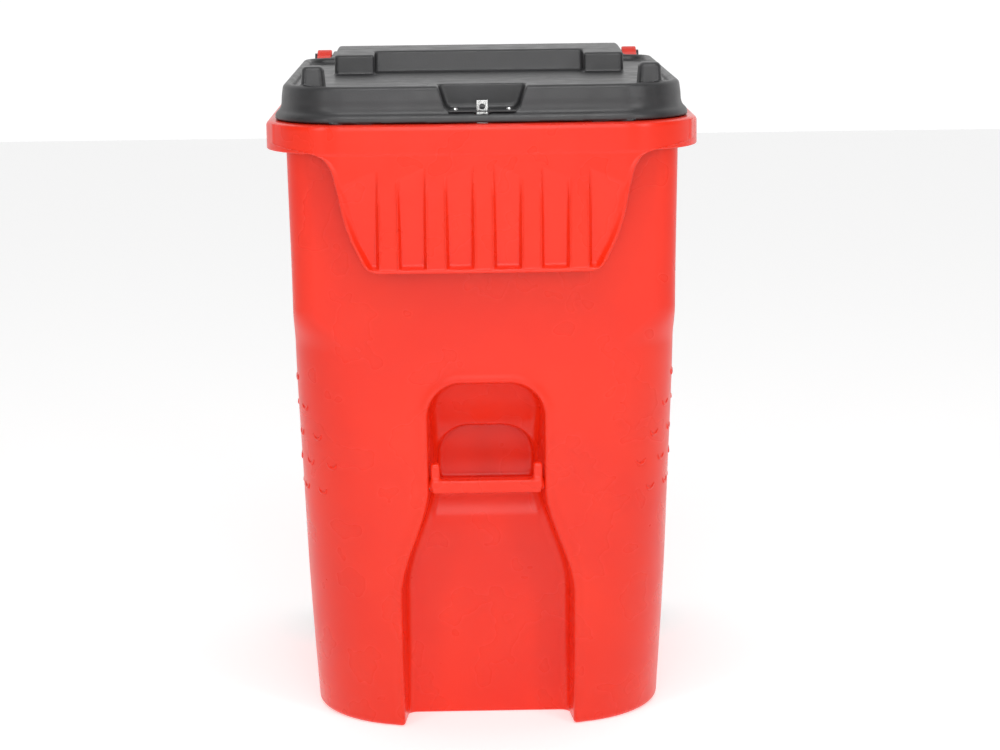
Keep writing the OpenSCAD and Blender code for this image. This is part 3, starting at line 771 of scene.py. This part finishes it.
def keep(mat, edge, *nodes):
    """Shows CAD nodes as they are, with smooth curves and with edges rounded over edge mm."""
    for node in nodes:
        piece = frame["nodes"][node]
        mesh = piece.data
        mesh.materials.clear()
        mesh.materials.append(mat)
        if "custom_normal" in mesh.attributes:
            mesh.attributes.remove(mesh.attributes["custom_normal"])
        mesh.polygons.foreach_set("use_smooth", np.ones(len(mesh.polygons), bool))
        weld = piece.modifiers.new("weld", "WELD")
        weld.merge_threshold = 0.01 * MM
        bevel = piece.modifiers.new("bevel", "BEVEL")
        bevel.width = edge * MM
        bevel.segments = 2
        bevel.limit_method = "ANGLE"
        bevel.angle_limit = math.radians(32)
        bevel.harden_normals = True


keep(WHEEL, 1.2, "wheel_left", "wheel_right")
keep(TYRE, 1.5, "tyre_left", "tyre_right")
keep(NYLON, 0.3, "wheel_bush_left", "wheel_bush_right")
keep(BLACK, 0.6, "axle_spacer_left", "axle_spacer_right", "hinge_pin_left", "hinge_pin_right")
keep(ZINC, 0.4, "lift_bar_rod", "axle", "axle_washer_left", "axle_washer_right")
keep(ZINC, 0.4, "axle_cap_left", "axle_cap_right")
keep(BRIGHT, 0.4, "hasp_rivets", "lock_staple", "staple_rivets")
keep(LID, 0.3, "hasp_plate")

# ------------------------------------------------------------------- camera, floor, light

CAMERA_AT = Vector((-35, -3555, 1155)) * MM
CAMERA_TURN, CAMERA_TILT, CAMERA_ROLL = 0.97, 11.352, -0.655  # degrees
LENS, SENSOR = 87.3, 36  # mm

camera = bpy.data.objects.new("camera", bpy.data.cameras.new("camera"))
camera.data.sensor_width = SENSOR
camera.data.lens = LENS
camera.data.clip_start, camera.data.clip_end = 0.1, 50
look = Euler((math.radians(90 - CAMERA_TILT), 0, math.radians(-CAMERA_TURN)), "XYZ").to_matrix()
roll = Matrix.Rotation(math.radians(CAMERA_ROLL), 3, "Z")
camera.matrix_world = Matrix.Translation(CAMERA_AT) @ (look @ roll).to_4x4()
bpy.context.scene.collection.objects.link(camera)
bpy.context.scene.camera = camera

floor_mesh = bpy.data.meshes.new("floor")
floor_mesh.from_pydata([(-8, -8, 0), (8, -8, 0), (8, 8, 0), (-8, 8, 0)], [], [(0, 1, 2, 3)])
floor = bpy.data.objects.new("floor", floor_mesh)
bpy.context.scene.collection.objects.link(floor)
floor_mesh.materials.append(
    material("floor_white", (0.8, 0.8, 0.8), 0.8, Emission_Color=(1, 1, 1, 1), Emission_Strength=0.42)
)

WORLD_FRONT, WORLD_BACK = 0.26, 1.05  # brightness of the studio before and behind the object


def soft_light(name, at, aim, size, power, colour=(1, 1, 1)):
    lamp = bpy.data.lights.new(name, "AREA")
    lamp.shape = "RECTANGLE"
    lamp.size, lamp.size_y = size
    lamp.energy = power
    lamp.color = colour
    made = bpy.data.objects.new(name, lamp)
    made.location = at
    made.rotation_euler = (Vector(aim) - Vector(at)).to_track_quat("-Z", "Y").to_euler()
    made.visible_camera = False
    bpy.context.scene.collection.objects.link(made)


soft_light("front", (0, -4.4, 1.9), (0, 0, 0.6), (2.4, 2.2), 47)
soft_light("top", (0, -1.5, 2.9), (0, -0.1, 0.7), (2.0, 1.0), 26)
soft_light("left_strip", (-1.5, -1.9, 1.6), (0, 0, 0.8), (0.3, 1.5), 8)
soft_light("right_strip", (1.5, -1.9, 1.6), (0, 0, 0.8), (0.3, 1.5), 11)

world = bpy.data.worlds.new("studio")
bpy.context.scene.world = world
world.use_nodes = True
sky = world.node_tree
sky.nodes["Background"].inputs["Color"].default_value = (1, 1, 1, 1)
facing = sky.nodes.new("ShaderNodeTexCoord")
split = sky.nodes.new("ShaderNodeSeparateXYZ")
shade = sky.nodes.new("ShaderNodeMapRange")
shade.interpolation_type = "SMOOTHSTEP"
for socket, value in zip(("From Min", "From Max", "To Min", "To Max"), (-0.1, 0.5, WORLD_FRONT, WORLD_BACK)):
    shade.inputs[socket].default_value = value
sky.links.new(facing.outputs["Generated"], split.inputs[0])
sky.links.new(split.outputs["Y"], shade.inputs["Value"])
sky.links.new(shade.outputs["Result"], sky.nodes["Background"].inputs["Strength"])
bpy.context.scene.view_settings.view_transform = "Standard"
